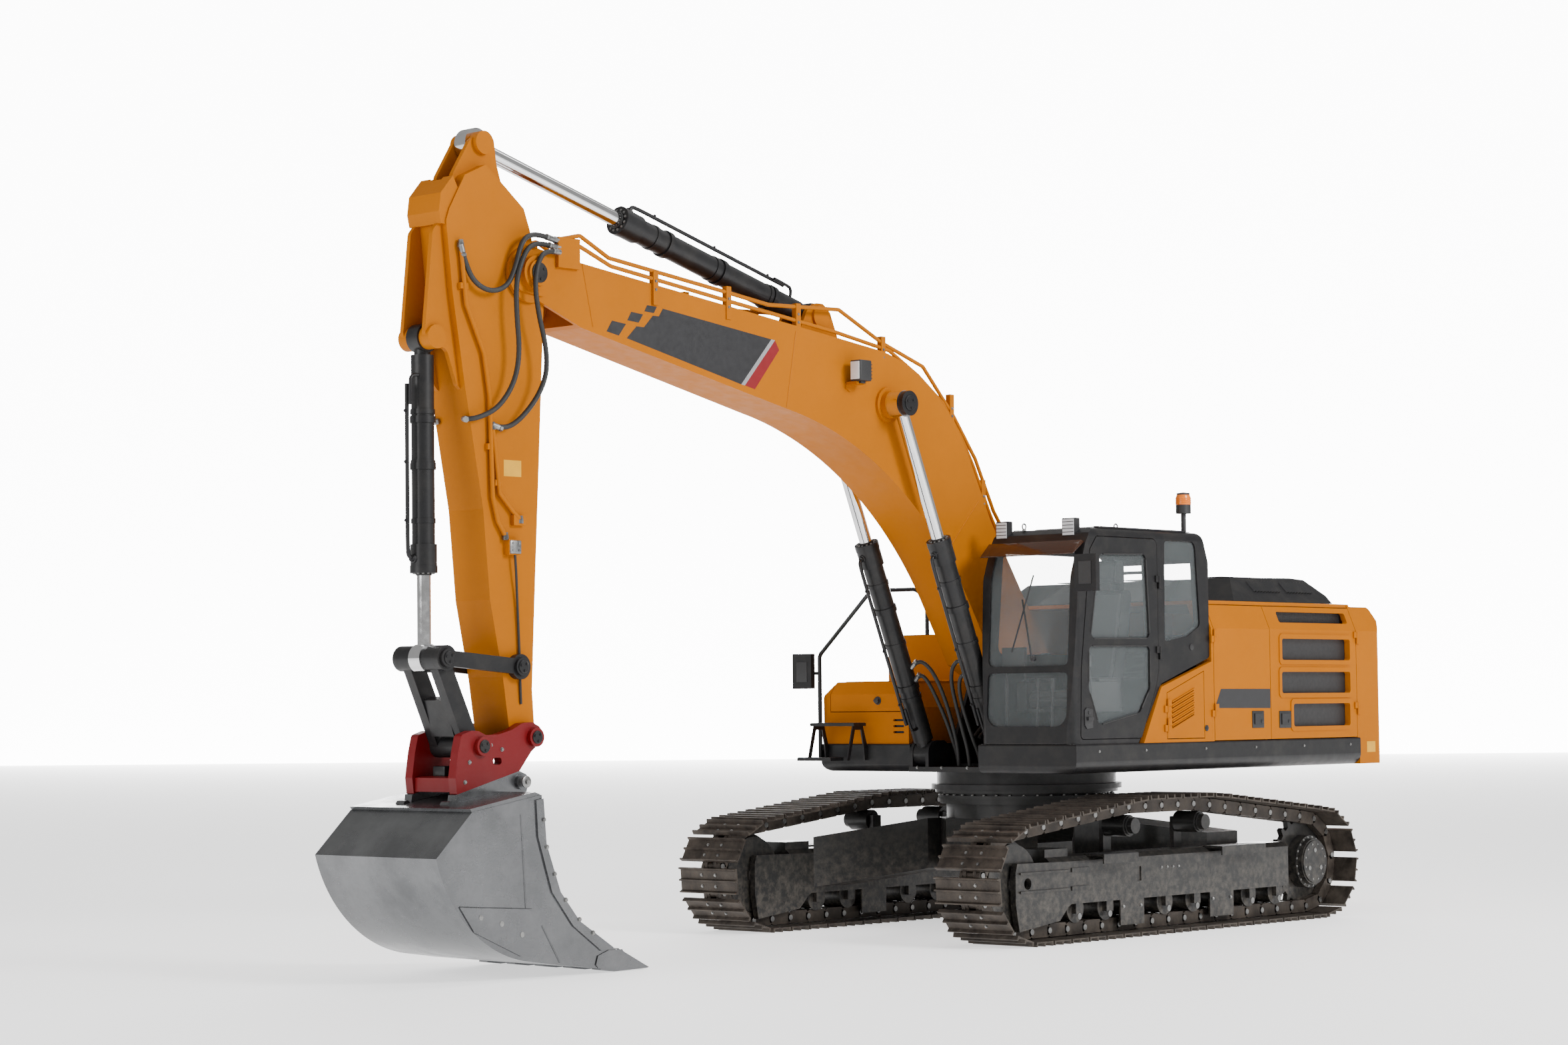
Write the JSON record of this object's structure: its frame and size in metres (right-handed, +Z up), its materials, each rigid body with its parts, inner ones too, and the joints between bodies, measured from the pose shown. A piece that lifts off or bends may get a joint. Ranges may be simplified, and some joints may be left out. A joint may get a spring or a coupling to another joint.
{
  "type": "crawler excavator",
  "caption": "Tracked excavator with a one-piece boom, arm, quick hitch and bucket on a slewing upper body with a cab, opening doors and hood, and coupled hydraulic cylinders.",
  "frame": {"origin": "bottom centre of the model's box, on the ground between the tracks' line and the bucket", "axes": "+X ahead along the boom, +Y to the operator's left, +Z up"},
  "size_m": [10.1144, 3.29, 5.6899],
  "materials": {
    "yellow": "semi-gloss orange-yellow paint",
    "black": "satin black paint",
    "undercarriage_black": "satin black paint, dusty",
    "track_steel": "bare worn track steel",
    "chrome": "hard chrome",
    "red": "gloss red paint",
    "bucket_grey": "dark grey paint",
    "glass": "lightly tinted",
    "plastic": "textured",
    "seat": "woven",
    "engine": "painted"
  },
  "bodies": {
    "undercarriage": {"centre_frame": "undercarriage_black", "slewing_ring": "undercarriage_black", "track_left": "track_steel", "track_frame_left": "undercarriage_black", "rollers_left": "undercarriage_black", "idler_left": "undercarriage_black", "sprocket_left": "undercarriage_black", "track_right": "track_steel", "track_frame_right": "undercarriage_black", "rollers_right": "undercarriage_black", "idler_right": "undercarriage_black", "sprocket_right": "undercarriage_black"},
    "upper_structure": {"swing_frame": "black", "counterweight": "yellow", "cab": "black", "cab_glass": "glass", "seat": "seat", "engine_block": "engine", "cab_fairing": "yellow", "right_body": "yellow", "body_frame": "yellow", "tool_box": "yellow", "cab_lamps": "plastic", "rails_and_mirrors": "black"},
    "cab_door": {"cab_door": "black", "door_glass": "glass"},
    "side_door_front": {"side_door_front": "yellow"},
    "side_door_rear": {"side_door_rear": "yellow"},
    "low_door": {"low_door": "yellow"},
    "tool_box_lid": {"tool_box_lid": "yellow"},
    "engine_hood": {"engine_hood": "black"},
    "boom": {"boom": "yellow", "boom_pin_caps": "black"},
    "boom_cylinder_barrels": {"boom_cylinder_barrels": "black"},
    "boom_cylinder_rods": {"boom_cylinder_rods": "chrome"},
    "arm": {"stick": "yellow"},
    "arm_cylinder_barrel": {"arm_cylinder_barrel": "black"},
    "arm_cylinder_rod": {"arm_cylinder_rod": "chrome"},
    "bucket_cylinder_barrel": {"bucket_cylinder_barrel": "black"},
    "bucket_cylinder_rod": {"bucket_cylinder_rod": "chrome"},
    "side_links": {"side_links": "black"},
    "bucket_link": {"bucket_link": "black"},
    "bucket": {"hitch": "red", "bucket": "bucket_grey"}
  },
  "joints": [
    {"name": "swing", "type": "hinge", "parent": "undercarriage", "child": "upper_structure", "pos_m": [-1.79784, 0, 1.09], "axis": [0, 0, 1], "continuous": true},
    {"name": "boom_lift", "type": "hinge", "parent": "upper_structure", "child": "boom", "pos_m": [-1.67784, 0, 2], "axis": [0, -1, 0], "range_deg": [-64, 30]},
    {"name": "boom_cylinder_pivot", "type": "hinge", "parent": "upper_structure", "child": "boom_cylinder_barrels", "pos_m": [-0.99384, 0, 1.377], "axis": [0, -1, 0], "range_deg": [-63.73, 30.14]},
    {"name": "boom_cylinder_stroke", "type": "slide", "parent": "boom_cylinder_barrels", "child": "boom_cylinder_rods", "axis": [0.3974, 0, 0.9176], "range_m": [-0.9449, 0.4483]},
    {"name": "arm_swing", "type": "hinge", "parent": "boom", "child": "arm", "pos_m": [3.83216, 0, 4.715], "axis": [0, 1, 0], "range_deg": [-86, 30]},
    {"name": "arm_cylinder_pivot", "type": "hinge", "parent": "boom", "child": "arm_cylinder_barrel", "pos_m": [0.80216, 0, 4.68], "axis": [0, -1, 0], "range_deg": [-1.97, 4.7]},
    {"name": "arm_cylinder_stroke", "type": "slide", "parent": "arm_cylinder_barrel", "child": "arm_cylinder_rod", "axis": [0.9663, 0, 0.2573], "range_m": [-1.2204, 0.4322]},
    {"name": "bucket_curl", "type": "hinge", "parent": "arm", "child": "bucket", "pos_m": [3.87116, 0, 1.577], "axis": [0, 1, 0], "range_deg": [-40, 120]},
    {"name": "side_link_pivot", "type": "hinge", "parent": "arm", "child": "side_links", "pos_m": [3.95816, 0, 2.05], "axis": [0, 1, 0], "range_deg": [-28.01, 83.02]},
    {"name": "link_pivot", "type": "hinge", "parent": "side_links", "child": "bucket_link", "pos_m": [4.62216, 0, 2.107], "axis": [0, -1, 0], "range_deg": [-16.21, 47.62]},
    {"name": "bucket_cylinder_pivot", "type": "hinge", "parent": "arm", "child": "bucket_cylinder_barrel", "pos_m": [4.63216, 0, 4.23], "axis": [0, -1, 0], "range_deg": [-7.45, 2.82]},
    {"name": "bucket_cylinder_stroke", "type": "slide", "parent": "bucket_cylinder_barrel", "child": "bucket_cylinder_rod", "axis": [-0.0047, 0, -1], "range_m": [-0.2792, 0.8177]},
    {"name": "cab_door_hinge", "type": "hinge", "parent": "upper_structure", "child": "cab_door", "pos_m": [-1.71984, 1.397, 2.2], "axis": [0, 0, 1], "range_deg": [0, 90]},
    {"name": "front_door_hinge", "type": "hinge", "parent": "upper_structure", "child": "side_door_front", "pos_m": [-2.43484, 1.412, 2], "axis": [0, 0, -1], "range_deg": [0, 100]},
    {"name": "rear_door_hinge", "type": "hinge", "parent": "upper_structure", "child": "side_door_rear", "pos_m": [-4.52484, 1.412, 2], "axis": [0, 0, 1], "range_deg": [0, 100]},
    {"name": "low_door_hinge", "type": "hinge", "parent": "upper_structure", "child": "low_door", "pos_m": [-1.79284, 1.412, 1.7], "axis": [0, 0, -1], "range_deg": [0, 100]},
    {"name": "tool_box_lid_hinge", "type": "hinge", "parent": "upper_structure", "child": "tool_box_lid", "pos_m": [-1.61984, 0, 1.957], "axis": [0, -1, 0], "range_deg": [0, 80]},
    {"name": "hood_hinge", "type": "hinge", "parent": "upper_structure", "child": "engine_hood", "pos_m": [-4.45784, 0, 2.601], "axis": [0, -1, 0], "range_deg": [0, 60]}
  ],
  "couplings": [
    {"joint": "boom_cylinder_pivot", "follows": "boom_lift", "ratio": 0.98796},
    {"joint": "boom_cylinder_stroke", "follows": "boom_lift", "m_per_rad": 0.83701},
    {"joint": "arm_cylinder_pivot", "follows": "arm_swing", "ratio": -0.048857},
    {"joint": "arm_cylinder_stroke", "follows": "arm_swing", "m_per_rad": 0.8064},
    {"joint": "side_link_pivot", "follows": "bucket_curl", "ratio": 0.68764},
    {"joint": "link_pivot", "follows": "bucket_curl", "ratio": 0.39269},
    {"joint": "bucket_cylinder_pivot", "follows": "bucket_curl", "ratio": -0.057877},
    {"joint": "bucket_cylinder_stroke", "follows": "bucket_curl", "m_per_rad": 0.38564}
  ]
}
